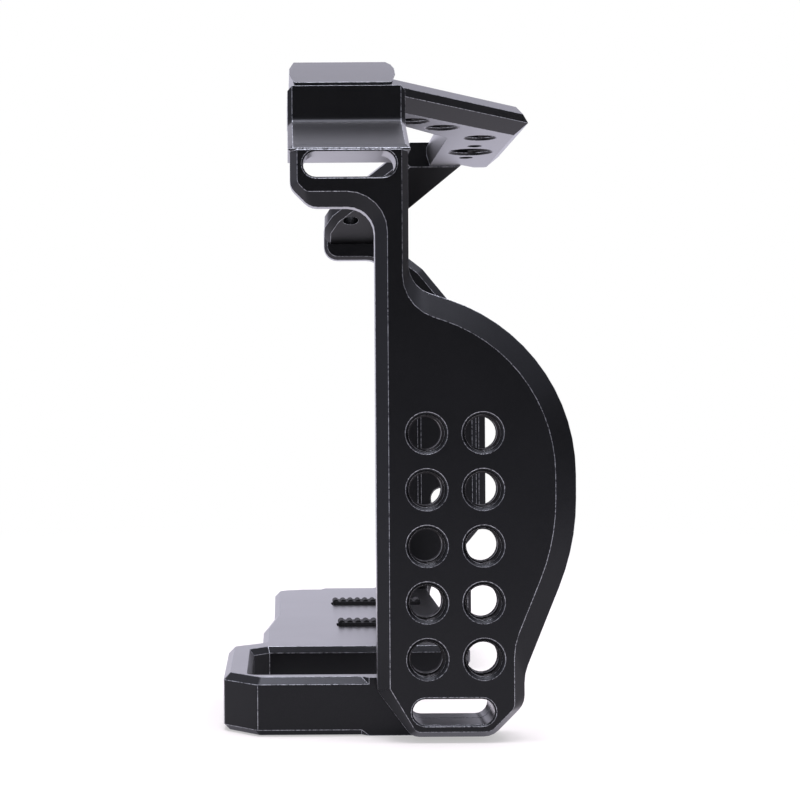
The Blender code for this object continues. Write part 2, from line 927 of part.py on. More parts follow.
def add_top_holes(mesh):
    """Threaded and locating holes of the top plate."""
    up = (0, 0, 1)
    spots = [(block_hole_across, block_hole_forward), (hood_hole_across, hood_hole_forward)]
    for step in range(2):
        across = bar_hole_across + step * bar_hole_step_across
        spots.append((across, bar_hole_forward + step * bar_hole_step_forward))
    quarter = (quarter_bore_radius, quarter_mouth_radius)
    for across, forward in spots:
        add_bore(mesh, place(across, forward, top_low), up, top_thickness, *quarter)
    centre = place(wide_hole_across, wide_hole_forward, top_low)
    add_bore(mesh, centre, up, top_thickness, wide_bore_radius, wide_mouth_radius)
    for sign in (-1, 1):
        spot = place(wide_hole_across + sign * locating_hole_reach, wide_hole_forward, top_low)
        add_plain_hole(mesh, spot, up, top_thickness, locating_hole_radius)
    lean = Vector((drop_slope, 0, 1)).normalized()
    across = drop_face_across + (base_far - drop_face_across) * drop_hole_share
    spot = place(across, drop_hole_forward, drop_low(across))
    add_plain_hole(mesh, spot, lean, top_thickness * lean.z, drop_hole_radius)


def port_side_plate(material):
    """The side plate by the camera's sockets: a post with a foot, a forward bulge and a short arm."""
    edge = (port_inner_chamfer, 0, 0, port_outer_chamfer)
    slim = (edge_break, 0, 0, edge_break)
    arm_top = drop_end_height + top_thickness + port_arm_rise
    arm_low = drop_end_height - port_arm_drop
    corners = [
        Corner(port_foot_back, port_foot_height, port_foot_back_radius, slim),
        Corner(port_foot_front, port_foot_height, port_foot_front_radius, slim),
        Corner(port_foot_front, base_thickness, port_fillet, slim, edge),
        Corner(port_front, port_bulge_low, port_bulge_low_radius, edge),
        Corner(port_front, port_bulge_high, port_bulge_radius, edge),
        Corner(port_cheek_forward, port_cheek_height, port_cheek_radius, edge),
        Corner(port_arm_front, port_cheek_height + port_cheek_rise, port_fillet, edge, slim),
        Corner(port_arm_front, arm_top, port_arm_corner, slim),
        Corner(drop_back_at_end, arm_top, port_arm_corner, slim),
        Corner(drop_back_at_end, arm_low, port_arm_corner, slim),
        Corner(port_back, arm_low, port_fillet, slim),
        Corner(port_back, port_foot_top, port_foot_fillet, slim),
        Corner(port_foot_back, port_foot_top, port_foot_front_radius, slim),
    ]
    levels = (port_inner, port_inner + port_chamfer_depth, cage_width - port_chamfer_depth, cage_width)

    def wall(mesh):
        add_outline_body(mesh, corners, levels, side_point)

    def relief(mesh):
        sunk = (0, 0, relief_slope)
        section = [
            Corner(relief_back, relief_low, 0, sunk),
            Corner(relief_front, relief_low, 0, sunk),
            Corner(relief_front, relief_high, 0, sunk),
            Corner(relief_back, relief_high, 0, sunk),
        ]
        levels = (port_inner - cut_overrun, port_inner, port_inner + relief_depth)
        add_outline_body(mesh, section, levels, side_point)

    def holes(mesh):
        for start in (port_hole_height, port_hole_upper_height):
            for row in range(2):
                spot = place(port_inner, port_hole_forward, start + row * grid_pitch)
                radii = (quarter_bore_radius, quarter_mouth_radius)
                add_bore(mesh, spot, (1, 0, 0), port_thickness, *radii)

    plate = new_object("port_side_plate", wall, material)
    combine(plate, helper("port_relief", relief), "DIFFERENCE")
    combine(plate, helper("port_holes", holes), "DIFFERENCE")
    return plate


def fasten(screws, material):
    """Cut both walls of each screw, and put the screw in."""
    cuts = {}
    for screw in screws:
        cuts.setdefault(screw.outer, []).append(screw.cut_seat)
        cuts.setdefault(screw.inner, []).append(screw.cut_thread)
        screw.add(material)
    for plate, parts in cuts.items():

        def all_cuts(mesh, parts=parts):
            for cut in parts:
                cut(mesh)

        combine(plate, helper(plate.name + "_screw_cuts", all_cuts), "DIFFERENCE")


def screw_list(grip_plate, base, top, port):
    """Every joining screw, from the walls it joins and its place."""
    small = (small_shank_radius, small_head_radius)
    large = (large_shank_radius, large_head_radius)
    outward = (-1, 0, 0)
    screws = []
    rim_places = {
        "back": (rim_screw_back, rim_screw_back_height),
        "front": (rim_screw_front, rim_screw_front_height),
    }
    for label, (forward, height) in rim_places.items():
        seat = place(bay_near, forward, height)
        walls = (base, grip_plate)
        screws.append(Screw("base_screw_grip_" + label, walls, seat, outward, rim_width, small))
    run = port_foot_front - port_foot_back
    for label, share in {"back": port_screw_back_share, "front": port_screw_front_share}.items():
        seat = place(cage_width, port_foot_back + run * share, base_thickness / 2)
        screws.append(Screw("base_screw_port_" + label, (port, base), seat, outward, port_thickness, large))
    block_places = {"back": block_back + top_screw_margin, "front": block_front - top_screw_margin}
    for label, forward in block_places.items():
        seat = place(top_screw_across, forward, cage_height)
        walls = (top, grip_plate)
        screws.append(Screw("top_screw_grip_" + label, walls, seat, (0, 0, -1), top_thickness, large))
    run = drop_front_at_end - drop_back_at_end
    for label, share in {"back": drop_screw_back_share, "front": drop_screw_front_share}.items():
        seat = place(cage_width, drop_back_at_end + run * share, drop_end_height + drop_screw_rise)
        screws.append(Screw("top_screw_port_" + label, (port, top), seat, outward, port_thickness, small))
    return screws


def build_cage():
    for thing in list(bpy.data.objects):
        bpy.data.objects.remove(thing)
    anodised = make_material("black_anodised", (0.012, 0.012, 0.014), 0.42, 0.6)
    steel = make_material("black_steel", (0.03, 0.03, 0.032), 0.35, 1.0)
    bright_steel = make_material("bright_steel", (0.45, 0.45, 0.46), 0.3, 1.0)
    rubber = make_material("black_rubber", (0.015, 0.015, 0.016), 0.8, 0.0)
    base = bottom_plate(anodised)
    grip_plate = grip_side_plate(anodised)
    port = port_side_plate(anodised)
    top = top_plate(anodised)
    fasten(screw_list(grip_plate, base, top, port), steel)
    ribbed_strip("rubber_strip_grip_side", strip_near_across, rubber)
    ribbed_strip("rubber_strip_port_side", strip_far_across, rubber)
    head_top = camera_screw(steel)
    ring_outer = head_radius + recess_margin + ring_seat_depth - joint_gap
    ring_body("retaining_ring", ring_outer, ring_inner_radius, ring_height, ring_thickness, bright_steel)
    washer_bore = screw_radius + joint_gap
    seat = head_top + joint_gap
    ring_body("screw_washer", washer_radius, washer_bore, seat, washer_thickness, bright_steel)


build_cage()
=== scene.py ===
import json
import math

import bmesh
import bpy
from mathutils import Matrix, Vector

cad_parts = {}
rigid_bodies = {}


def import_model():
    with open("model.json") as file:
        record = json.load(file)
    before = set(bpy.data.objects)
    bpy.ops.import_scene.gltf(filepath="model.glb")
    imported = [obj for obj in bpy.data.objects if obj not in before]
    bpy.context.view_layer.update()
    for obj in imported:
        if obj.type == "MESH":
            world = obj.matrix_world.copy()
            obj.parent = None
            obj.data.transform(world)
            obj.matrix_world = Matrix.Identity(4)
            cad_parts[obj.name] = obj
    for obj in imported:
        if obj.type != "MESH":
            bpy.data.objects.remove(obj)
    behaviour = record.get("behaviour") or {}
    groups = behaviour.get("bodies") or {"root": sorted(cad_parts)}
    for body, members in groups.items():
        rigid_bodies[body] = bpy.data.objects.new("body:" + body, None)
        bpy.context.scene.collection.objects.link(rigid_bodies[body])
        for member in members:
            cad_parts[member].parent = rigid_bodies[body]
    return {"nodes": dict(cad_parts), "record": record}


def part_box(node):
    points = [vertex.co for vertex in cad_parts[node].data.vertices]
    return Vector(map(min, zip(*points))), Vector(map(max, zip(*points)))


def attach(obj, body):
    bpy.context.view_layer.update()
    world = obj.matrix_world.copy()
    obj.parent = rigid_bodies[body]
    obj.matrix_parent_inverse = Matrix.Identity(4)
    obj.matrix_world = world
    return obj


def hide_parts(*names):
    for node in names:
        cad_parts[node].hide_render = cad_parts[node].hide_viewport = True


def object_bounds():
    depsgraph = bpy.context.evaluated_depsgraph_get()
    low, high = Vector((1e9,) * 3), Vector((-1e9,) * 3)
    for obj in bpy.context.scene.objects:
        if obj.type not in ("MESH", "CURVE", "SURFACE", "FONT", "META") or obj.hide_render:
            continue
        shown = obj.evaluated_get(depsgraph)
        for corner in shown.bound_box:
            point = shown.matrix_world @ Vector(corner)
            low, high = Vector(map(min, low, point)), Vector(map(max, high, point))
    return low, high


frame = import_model()
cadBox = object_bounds()
cadLow, cadHigh = cadBox
print("frame loaded:", len(frame["nodes"]), "nodes")

rearEdge = -0.0006  # where the rear edge lies on the scale of forward distances
frameBody = frame["record"]["behaviour"]["joints"][0]["parent"]
screwBody = "turning_screw"
washerBody = "lifting_washer"


def place(across, forward, height):
    # a point by its distance across from the grip side, forward, and above the ground
    return Vector((cadLow.x + across, cadHigh.y + rearEdge - forward, cadLow.z + height))


# Shader building

class Wire:
    # a value socket that takes part in Python sums
    def __init__(self, paint, socket):
        self.paint = paint
        self.socket = socket

    def sum(self, operation, first, second):
        return self.paint.node("ShaderNodeMath", {"operation": operation}, {0: first, 1: second})

    def __add__(self, other):
        return self.sum("ADD", self, other)

    def __radd__(self, other):
        return self.sum("ADD", other, self)

    def __sub__(self, other):
        return self.sum("SUBTRACT", self, other)

    def __rsub__(self, other):
        return self.sum("SUBTRACT", other, self)

    def __mul__(self, other):
        return self.sum("MULTIPLY", self, other)

    def __rmul__(self, other):
        return self.sum("MULTIPLY", other, self)

    def clamped(self):
        return self.paint.node("ShaderNodeClamp", {}, {"Value": self})

    def output(self, name):
        return Wire(self.paint, self.socket.node.outputs[name])


class Paint:
    # one material and the nodes that it is made of
    def __init__(self, name):
        self.material = bpy.data.materials.new(name)
        self.material.use_nodes = True
        self.tree = self.material.node_tree
        self.shader = self.tree.nodes["Principled BSDF"]

    def node(self, kind, settings, values, output=0):
        made = self.tree.nodes.new(kind)
        for key, value in settings.items():
            setattr(made, key, value)
        for key, value in values.items():
            self.join(made.inputs[key], value)
        return Wire(self, made.outputs[output])

    def join(self, socket, value):
        if isinstance(value, Wire):
            self.tree.links.new(value.socket, socket)
        else:
            socket.default_value = value

    def shine(self, values):
        for key, value in values.items():
            self.join(self.shader.inputs[key], value)

    def place(self):
        return self.node("ShaderNodeTexCoord", {}, {}, "Object")

    def noise(self, grain, detail=2.0, roughness=0.5, where=None):
        # grain is the rough size of one speck, in metres
        where = where or self.place()
        inputs = {"Vector": where, "Scale": 1 / grain, "Detail": detail, "Roughness": roughness}
        return self.node("ShaderNodeTexNoise", {}, inputs, "Fac")

    def blend(self, factor, first, second):
        inputs = {0: factor, 6: first, 7: second}
        return self.node("ShaderNodeMix", {"data_type": "RGBA"}, inputs, 2)

    def bump(self, height, strength, depth):
        return self.node("ShaderNodeBump", {}, {"Height": height, "Strength": strength, "Distance": depth})


def grey(level, warmth=0.0):
    return (level * (1 + warmth), level, level * (1 - warmth), 1)


def makeAnodised():
    # dark face on, and bright where it is seen along its surface
    look = {
        "grain": 0.00016,
        "cloud": 0.012,
        "speckShare": 0.7,
        "cloudShare": 0.3,
        "dark": 0.018,
        "pale": 0.032,
        "tint": -0.04,
        "rough": 0.28,
        "roughBySpeck": 0.08,
        "roughByCloud": 0.06,
        "pitStrength": 0.35,
        "pitDepth": 0.00003,
        "turn": (0.60, 0.78),  # where it goes from dark to bright
        "coatRough": 0.32,
        "coatIor": 1.85,
    }
    paint = Paint("blastedAnodising")
    speck = paint.noise(look["grain"], 2, 0.65)
    cloud = paint.noise(look["cloud"], 3)
    tone = (speck * look["speckShare"] + cloud * look["cloudShare"]).clamped()
    colour = paint.blend(tone, grey(look["dark"], look["tint"]), grey(look["pale"], look["tint"]))
    rough = look["rough"] + speck * look["roughBySpeck"] + cloud * look["roughByCloud"]
    pits = paint.bump(speck, look["pitStrength"], look["pitDepth"])
    facing = paint.node("ShaderNodeLayerWeight", {}, {"Blend": 0.5}, "Facing")
    low, high = look["turn"]
    coat = ((facing - low) * (1 / (high - low))).clamped()
    paint.shine({"Base Color": colour, "Roughness": rough, "Normal": pits, "Coat Weight": coat})
    paint.shine({"Metallic": 1.0, "Coat Roughness": look["coatRough"], "Coat IOR": look["coatIor"]})
    return paint.material


def makeEdge():
    look = {
        "grain": 0.0005,
        "wearFrom": 0.38,
        "wearContrast": 4.0,
        "dark": 0.10,
        "pale": 0.50,
        "tint": -0.04,
        "rough": 0.26,
        "roughByWear": 0.12,
    }
    paint = Paint("machinedEdge")
    wear = ((paint.noise(look["grain"], 3, 0.7) - look["wearFrom"]) * look["wearContrast"]).clamped()
    colour = paint.blend(wear, grey(look["dark"], look["tint"]), grey(look["pale"], look["tint"]))
    rough = look["rough"] + wear * look["roughByWear"]
    paint.shine({"Base Color": colour, "Roughness": rough, "Metallic": 1.0})
    return paint.material


def makeThreadFinish():
    look = {
        "grain": 0.0002,
        "dark": 0.004,
        "pale": 0.012,
        "rough": 0.24,
        "roughByWear": 0.16,
        "metallic": 0.2,
        "specular": 0.3,
    }
    paint = Paint("cutThread")
    wear = paint.noise(look["grain"], 2)
    colour = paint.blend(wear, grey(look["dark"]), grey(look["pale"]))
    rough = look["rough"] + wear * look["roughByWear"]
    paint.shine({"Base Color": colour, "Roughness": rough})
    paint.shine({"Metallic": look["metallic"], "Specular IOR Level": look["specular"]})
    return paint.material


turning = {
    "squeeze": 14,  # how flat the turning lines lie
    "line": 0.0009,
    "grain": 0.0002,
    "lineShare": 0.6,
    "speckShare": 0.4,
    "roughByLine": 0.12,
    "markStrength": 0.2,
    "markDepth": 0.00002,
}


def makeSteel(name, look):
    paint = Paint(name)
    squeeze = {"Vector": paint.place(), "Scale": (1, 1, turning["squeeze"])}
    turned = paint.node("ShaderNodeMapping", {}, squeeze)
    lines = paint.noise(turning["line"], 3, 0.6, turned)
    speck = paint.noise(turning["grain"], 2)
    tone = (lines * turning["lineShare"] + speck * turning["speckShare"]).clamped()
    colour = paint.blend(tone, grey(look["dark"]), grey(look["pale"]))
    marks = paint.bump(lines, turning["markStrength"], turning["markDepth"])
    rough = look["rough"] + lines * turning["roughByLine"]
    paint.shine({"Base Color": colour, "Roughness": rough, "Normal": marks, "Metallic": 1.0})
    return paint.material


def makeRubber():
    look = {
        "grain": 0.00025,
        "cloud": 0.003,
        "speckShare": 0.5,
        "cloudShare": 0.5,
        "dark": 0.005,
        "pale": 0.011,
        "rough": 0.68,
        "roughBySpeck": 0.16,
        "pitStrength": 0.4,
        "pitDepth": 0.00004,
        "specular": 0.5,
    }
    paint = Paint("ribbedRubber")
    speck = paint.noise(look["grain"], 3, 0.7)
    cloud = paint.noise(look["cloud"], 2)
    tone = (speck * look["speckShare"] + cloud * look["cloudShare"]).clamped()
    colour = paint.blend(tone, grey(look["dark"]), grey(look["pale"]))
    pits = paint.bump(speck, look["pitStrength"], look["pitDepth"])
    rough = look["rough"] + speck * look["roughBySpeck"]
    paint.shine({"Base Color": colour, "Roughness": rough, "Normal": pits, "Metallic": 0.0})
    paint.shine({"Specular IOR Level": look["specular"]})
    return paint.material


def makeCard():
    look = {"grain": 0.2, "dark": 0.20, "pale": 0.28, "rough": 0.9}
    paint = Paint("darkCard")
    tone = paint.blend(paint.noise(look["grain"]), grey(look["dark"]), grey(look["pale"]))
    paint.shine({"Base Color": tone, "Roughness": look["rough"], "Specular IOR Level": 0.0})
    return paint.material


finish = {
    "anodised": makeAnodised(),
    "edge": makeEdge(),
    "thread": makeThreadFinish(),
    "blackSteel": makeSteel("blackenedSteel", {"dark": 0.018, "pale": 0.040, "rough": 0.26}),
    "brightSteel": makeSteel("brightSteel", {"dark": 0.36, "pale": 0.52, "rough": 0.22}),
    "rubber": makeRubber(),
    "card": makeCard(),
}
print("finishes made:", len(finish))


# Meshes

def addObject(name, mesh):
    made = bpy.data.objects.new(name, mesh)
    bpy.context.scene.collection.objects.link(made)
    return made


def settle(thing):
    # turns live modifiers into a plain mesh, and drops the modifiers
    bpy.context.view_layer.update()
    depsgraph = bpy.context.evaluated_depsgraph_get()
    mesh = bpy.data.meshes.new_from_object(thing.evaluated_get(depsgraph))
    thing.modifiers.clear()
    thing.data = mesh
    return thing


def mount(thing, body, slot, *nodes):
    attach(thing, body)
    if nodes:
        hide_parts(*nodes)
    return thing


mending = {"weld": 0.000002, "flat": 0.6}  # metres, and degrees between faces that are one
edgeBreak = {"sharp": 22, "crease": 50, "weight": 100}  # degrees, degrees, and how far large faces lead


def mergedCopy(node):
    # the solid's own mesh, welded and with its flat faces made whole
    data = bmesh.new()
    data.from_mesh(frame["nodes"][node].data)
    bmesh.ops.remove_doubles(data, verts=data.verts, dist=mending["weld"])
    flat = math.radians(mending["flat"])
    bmesh.ops.dissolve_limit(data, angle_limit=flat, verts=data.verts, edges=data.edges)
    mesh = bpy.data.meshes.new(node + "Mesh")
    data.to_mesh(mesh)
    data.free()
    mesh.materials.clear()
    return mesh


def breakEdges(thing, width, segments):
    # a fine rounding on every sharp edge, in the machined finish
    bevel = thing.modifiers.new("edgeBreak", "BEVEL")
    bevel.width = width
    bevel.segments = segments
    bevel.limit_method = "ANGLE"
    bevel.angle_limit = math.radians(edgeBreak["sharp"])
    bevel.use_clamp_overlap = False
    bevel.material = 1
    settle(thing)
    thing.data.shade_smooth()
    thing.data.set_sharp_from_angle(angle=math.radians(edgeBreak["crease"]))
    weigh = thing.modifiers.new("flatFaces", "WEIGHTED_NORMAL")
    weigh.keep_sharp = True
    weigh.weight = edgeBreak["weight"]
    settle(thing)


def finePiece(node, sizes):
    mesh = mergedCopy(node)
    mesh.materials.append(finish[sizes["face"]])
    mesh.materials.append(finish[sizes["edge"]])
    for polygon in mesh.polygons:
        polygon.material_index = 0
    thing = addObject(node + "Finish", mesh)
    breakEdges(thing, sizes["edgeWidth"], sizes["segments"])
    return mount(thing, sizes["body"], sizes["slot"], node)


plateFinish = {
    "face": "anodised",
    "edge": "edge",
    "edgeWidth": 0.00006,
    "segments": 2,
    "body": frameBody,
    "slot": "black_anodised",
}
for plate in ("bottom_plate", "grip_side_plate", "port_side_plate", "top_plate"):
    made = finePiece(plate, plateFinish)
    print("plate", plate, len(made.data.polygons), "faces")

screwFinish = {
    "face": "blackSteel",
    "edge": "blackSteel",
    "edgeWidth": 0.00006,
    "segments": 2,
    "body": frameBody,
    "slot": "black_steel",
}
for node in sorted(frame["nodes"]):
    if node.startswith(("base_screw", "top_screw")):
        finePiece(node, screwFinish)
finePiece("camera_screw", {**screwFinish, "body": screwBody, "edgeWidth": 0.00008})
brightFinish = {**screwFinish, "face": "brightSteel", "edge": "brightSteel", "slot": "bright_steel"}
finePiece("retaining_ring", brightFinish)
finePiece("screw_washer", {**brightFinish, "body": washerBody})
print("screws finished")


# Geometry Nodes

class Nodes:
    # one node tree, with named inputs
    def __init__(self, name, inputs):
        self.tree = bpy.data.node_groups.new(name, "GeometryNodeTree")
        self.tree.interface.new_socket("Geometry", in_out="INPUT", socket_type="NodeSocketGeometry")
        for label, (kind, value) in inputs.items():
            socket = self.tree.interface.new_socket(label, in_out="INPUT", socket_type="NodeSocket" + kind)
            if value is not None:
                socket.default_value = value
        self.tree.interface.new_socket("Geometry", in_out="OUTPUT", socket_type="NodeSocketGeometry")
        self.inputs = self.tree.nodes.new("NodeGroupInput")
        self.outputs = self.tree.nodes.new("NodeGroupOutput")

    def given(self, label):
        return self.inputs.outputs[label]

    def node(self, kind, settings, values, output=0):
        made = self.tree.nodes.new(kind)
        for key, value in settings.items():
            setattr(made, key, value)
        for key, value in values.items():
            if isinstance(value, bpy.types.NodeSocket):
                self.tree.links.new(value, made.inputs[key])
            else:
                made.inputs[key].default_value = value
        return made.outputs[output]

    def finish(self, geometry, material):
        real = self.node("GeometryNodeRealizeInstances", {}, {"Geometry": geometry})
        painted = self.node("GeometryNodeSetMaterial", {}, {"Geometry": real, "Material": material})
        self.tree.links.new(painted, self.outputs.inputs["Geometry"])

    def grow(self, thing, values):
        modifier = thing.modifiers.new(self.tree.name, "NODES")
        modifier.node_group = self.tree
        for item in self.tree.interface.items_tree:
            if item.item_type == "SOCKET" and item.in_out == "INPUT" and item.name in values:
                modifier[item.identifier] = values[item.name]
        return settle(thing)


def spotMesh(name, spots):
    # one point for each (place, direction), which the tree reads as its seat and axis
    mesh = bpy.data.meshes.new(name)
    mesh.from_pydata([spot for spot, axis in spots], [], [])
    axes = mesh.attributes.new("axis", "FLOAT_VECTOR", "POINT")
    for index, (spot, axis) in enumerate(spots):
        axes.data[index].vector = Vector(axis).normalized()
    return mesh


def threadTree():
    nodes = Nodes("threadCoil", {
        "Radius": ("Float", 0.003),
        "Ridge": ("Float", 0.0003),
        "Pitch": ("Float", 0.00127),
        "Length": ("Float", 0.005),
        "Steps": ("Int", 28),
        "Material": ("Material", None),
    })
    span = {0: nodes.given("Length"), 1: nodes.given("Pitch")}
    turns = nodes.node("ShaderNodeMath", {"operation": "DIVIDE"}, span)
    coil = nodes.node("GeometryNodeCurveSpiral", {}, {
        "Resolution": nodes.given("Steps"),
        "Rotations": turns,
        "Start Radius": nodes.given("Radius"),
        "End Radius": nodes.given("Radius"),
        "Height": nodes.given("Length"),
    })
    profile = {"Resolution": 4, "Radius": nodes.given("Ridge")}  # a ridge with four sides
    section = nodes.node("GeometryNodeCurvePrimitiveCircle", {}, profile)
    sweep = {"Curve": coil, "Profile Curve": section, "Fill Caps": True}
    ridge = nodes.node("GeometryNodeCurveToMesh", {}, sweep)
    axis = nodes.node("GeometryNodeInputNamedAttribute", {"data_type": "FLOAT_VECTOR"}, {"Name": "axis"})
    turned = nodes.node("FunctionNodeAlignRotationToVector", {"axis": "Z"}, {"Vector": axis})
    placed = nodes.node("GeometryNodeInstanceOnPoints", {}, {
        "Points": nodes.node("GeometryNodeMeshToPoints", {}, {"Mesh": nodes.given("Geometry")}),
        "Instance": ridge,
        "Rotation": turned,
    })
    nodes.finish(placed, nodes.given("Material"))
    return nodes


threads = threadTree()


def addThreads(name, spots, sizes):
    thing = addObject(name, spotMesh(name + "Spots", spots))
    values = {
        "Radius": sizes["radius"],
        "Ridge": sizes["ridge"],
        "Pitch": sizes["pitch"],
        "Length": sizes["length"],
        "Material": finish[sizes["face"]],
    }
    threads.grow(thing, values)
    thing.data.shade_flat()
    return mount(thing, sizes["body"], sizes["slot"])


quarterThread = {
    "radius": 0.00305,
    "ridge": 0.00030,
    "pitch": 0.00127,
    "length": 0.0046,
    "face": "thread",
    "body": frameBody,
    "slot": "black_anodised",
}
gripHoles = {"column": 0.03415, "row": 0.0520, "pitch": 0.0095, "rows": 5, "inset": 0.0009}
spots = []
for row in range(gripHoles["rows"]):
    for column in range(2):
        forward = gripHoles["column"] + column * gripHoles["pitch"]
        height = gripHoles["row"] - row * gripHoles["pitch"]
        spots.append((place(gripHoles["inset"], forward, height), (1, 0, 0)))
addThreads("gripThreads", spots, quarterThread)

portHoles = {"across": 0.1435, "forward": 0.0507, "rows": (0.0327, 0.0422, 0.0612, 0.0707), "inset": 0.0011}
spots = []
for height in portHoles["rows"]:
    spots.append((place(portHoles["across"] + portHoles["inset"], portHoles["forward"], height), (1, 0, 0)))
addThreads("portThreads", spots, quarterThread)

topHoles = {
    "base": 0.1128,
    "inset": 0.0008,
    "places": ((0.0400, 0.0208), (0.0500, 0.0362), (0.0580, 0.0427), (0.0713, 0.0520)),
    "large": (0.0910, 0.0522),
}
start = topHoles["base"] + topHoles["inset"]
spots = [(place(across, forward, start), (0, 0, 1)) for across, forward in topHoles["places"]]
addThreads("topThreads", spots, {**quarterThread, "length": 0.0042})
largeThread = {**quarterThread, "radius": 0.0045, "ridge": 0.0004, "pitch": 0.00159, "length": 0.0040}
addThreads("topLargeThread", [(place(*topHoles["large"], start), (0, 0, 1))], largeThread)

baseHoles = {
    "quarter": ((0.0580, 0.0181), (0.0580, 0.0371), (0.1300, 0.0371)),
    "large": (0.1300, 0.0181),
    "inset": 0.0008,
}
start = baseHoles["inset"]
spots = [(place(across, forward, start), (0, 0, 1)) for across, forward in baseHoles["quarter"]]
addThreads("baseThreads", spots, {**quarterThread, "length": 0.0058})
spots = [(place(*baseHoles["large"], start), (0, 0, 1))]
addThreads("baseLargeThread", spots, {**largeThread, "length": 0.0056})

cameraThread = {
    **quarterThread,
    "radius": 0.00300,
    "ridge": 0.00034,
    "length": 0.0028,
    "below": 0.0008,  # from the tip down to the thread's end
    "face": "blackSteel",
    "body": screwBody,
    "slot": "black_steel",
}
screwLow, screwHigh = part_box("camera_screw")
screwCentre = (screwLow + screwHigh) / 2
threadLow = screwHigh.z - cameraThread["below"] - cameraThread["length"]
start = Vector((screwCentre.x, screwCentre.y, threadLow))
addThreads("cameraScrewThread", [(start, (0, 0, 1))], cameraThread)
print("threads cut")


def ribTree():
    nodes = Nodes("ribRow", {
        "Count": ("Int", 12),
        "Pitch": ("Float", 0.0017),
        "Width": ("Float", 0.006),
        "Radius": ("Float", 0.0007),
        "Material": ("Material", None),
    })
    step = nodes.node("ShaderNodeCombineXYZ", {}, {"Y": nodes.given("Pitch")})
    spread = {"Count": nodes.given("Count"), "Offset": step}
    line = nodes.node("GeometryNodeMeshLine", {"mode": "OFFSET"}, spread)
    half = nodes.node("ShaderNodeMath", {"operation": "DIVIDE"}, {0: nodes.given("Width"), 1: 2.0})
    reach = nodes.node("ShaderNodeMath", {"operation": "SUBTRACT"}, {0: half, 1: nodes.given("Radius")})
    back = nodes.node("ShaderNodeMath", {"operation": "MULTIPLY"}, {0: reach, 1: -1.0})
    ends = nodes.node("GeometryNodeCurvePrimitiveLine", {}, {
        "Start": nodes.node("ShaderNodeCombineXYZ", {}, {"X": back}),
        "End": nodes.node("ShaderNodeCombineXYZ", {}, {"X": reach}),
    })
    profile = {"Resolution": 16, "Radius": nodes.given("Radius")}
    ring = nodes.node("GeometryNodeCurvePrimitiveCircle", {}, profile)
    bar = nodes.node("GeometryNodeCurveToMesh", {}, {"Curve": ends, "Profile Curve": ring, "Fill Caps": True})
    rows = nodes.node("GeometryNodeInstanceOnPoints", {}, {"Points": line, "Instance": bar})
    both = nodes.tree.nodes.new("GeometryNodeJoinGeometry")
    nodes.tree.links.new(rows, both.inputs[0])
    nodes.tree.links.new(nodes.given("Geometry"), both.inputs[0])
    nodes.finish(both.outputs[0], nodes.given("Material"))
    return nodes


ribs = ribTree()
strip = {"ribs": 12, "radius": 0.00072, "sink": 0.0001, "overhang": 0.3, "crease": 35}  # overhang in radii


def ribbedStrip(node):
    low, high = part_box(node)
    mesh = bpy.data.meshes.new(node + "Base")
    data = bmesh.new()
    bmesh.ops.create_cube(data, size=1)
    span = high - low
    inset = Vector((strip["radius"] * strip["overhang"], strip["radius"], 0))
    top = span.z - strip["sink"] - strip["radius"] / 2
    centre = (low + high) / 2
    pitch = (span.y - strip["radius"] * 2) / (strip["ribs"] - 1)
    origin = Vector((centre.x, low.y + strip["radius"], high.z - strip["radius"]))
    bmesh.ops.scale(data, vec=(span.x - inset.x * 2, span.y - inset.y * 2, top), verts=data.verts)
    shift = Vector((centre.x, centre.y, low.z + top / 2)) - origin
    bmesh.ops.translate(data, vec=shift, verts=data.verts)
    data.to_mesh(mesh)
    data.free()
    thing = addObject(node + "Ribs", mesh)
    values = {
        "Count": strip["ribs"],
        "Pitch": pitch,
        "Width": span.x,
        "Radius": strip["radius"],
        "Material": finish["rubber"],
    }
    ribs.grow(thing, values)
    thing.data.transform(Matrix.Translation(origin))
    thing.data.shade_smooth()
    thing.data.set_sharp_from_angle(angle=math.radians(strip["crease"]))
    return mount(thing, frameBody, "black_rubber", node)


for node in ("rubber_strip_grip_side", "rubber_strip_port_side"):
    ribbedStrip(node)
print("strips made")


# Floor, light and camera

